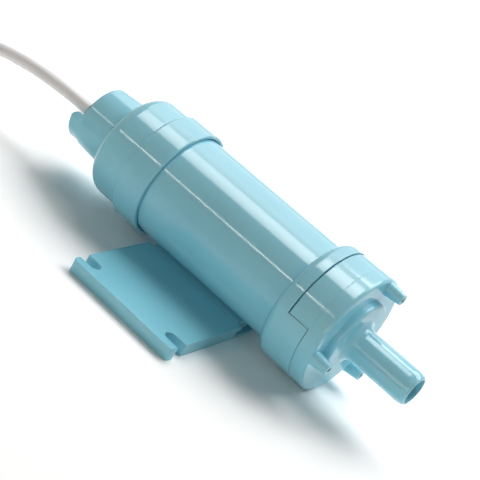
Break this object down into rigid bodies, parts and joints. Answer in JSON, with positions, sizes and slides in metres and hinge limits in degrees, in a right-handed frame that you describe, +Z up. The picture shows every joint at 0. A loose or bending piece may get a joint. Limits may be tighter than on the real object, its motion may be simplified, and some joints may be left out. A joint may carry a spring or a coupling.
{
  "type": "in-line caravan water pump",
  "caption": "Small tube-shaped 12 V in-line water pump with an inlet spigot, rear outlet socket, cable and a slide-on mounting plate.",
  "frame": {"origin": "centre of the mounting plate's underside", "axes": "+X along the pump's axis towards the inlet spigot, +Z up from the mounting surface, +Y to the left seen from behind"},
  "size_m": [0.2396, 0.1296, 0.0454],
  "materials": {
    "shell_plastic": "moulded, glossy",
    "seal_rubber": "smooth",
    "nylon": "moulded, satin",
    "dark_plastic": "moulded, satin",
    "steel": "bright",
    "core_steel": "stacked sheet",
    "ferrite": "sintered",
    "bronze": "bright",
    "carbon": "pressed carbon",
    "capacitor_coat": "dipped coat",
    "lead_pvc": "extruded",
    "copper": "enamelled and bare copper",
    "gland_rubber": "smooth",
    "cable_pvc": "extruded, satin",
    "core_pvc": "extruded"
  },
  "bodies": {
    "plate": {"mounting_plate": "shell_plastic"},
    "pump": {"housing_tube": "shell_plastic", "front_cover": "shell_plastic", "rear_cap": "shell_plastic", "cover_seal": "seal_rubber", "cap_seal": "seal_rubber", "outlet_seal": "seal_rubber", "shaft_seal": "seal_rubber", "bulkhead": "nylon", "motor_sleeve": "nylon", "coil_tie": "nylon", "end_bell": "dark_plastic", "seal_washer": "steel", "motor_can": "steel", "magnets": "ferrite", "front_bearing": "bronze", "rear_bearing": "bronze", "brush_terminals": "bronze", "brushes": "carbon", "capacitor": "capacitor_coat", "inner_leads": "lead_pvc", "cable_gland": "gland_rubber", "cable_inner": "cable_pvc", "cable": "cable_pvc", "cable_coil": "cable_pvc", "cable_cores": "core_pvc"},
    "rotor": {"motor_shaft": "steel", "armature_core": "core_steel", "armature_windings": "copper", "commutator": "copper", "thrust_washers": "nylon", "impeller": "dark_plastic"}
  },
  "joints": [
    {"name": "pump_slide", "type": "slide", "parent": "plate", "child": "pump", "axis": [1, 0, 0], "range_m": [0, 0.045]},
    {"name": "rotor_spin", "type": "hinge", "parent": "pump", "child": "rotor", "pos_m": [0, 0, 0.0229], "axis": [1, 0, 0], "continuous": true}
  ]
}
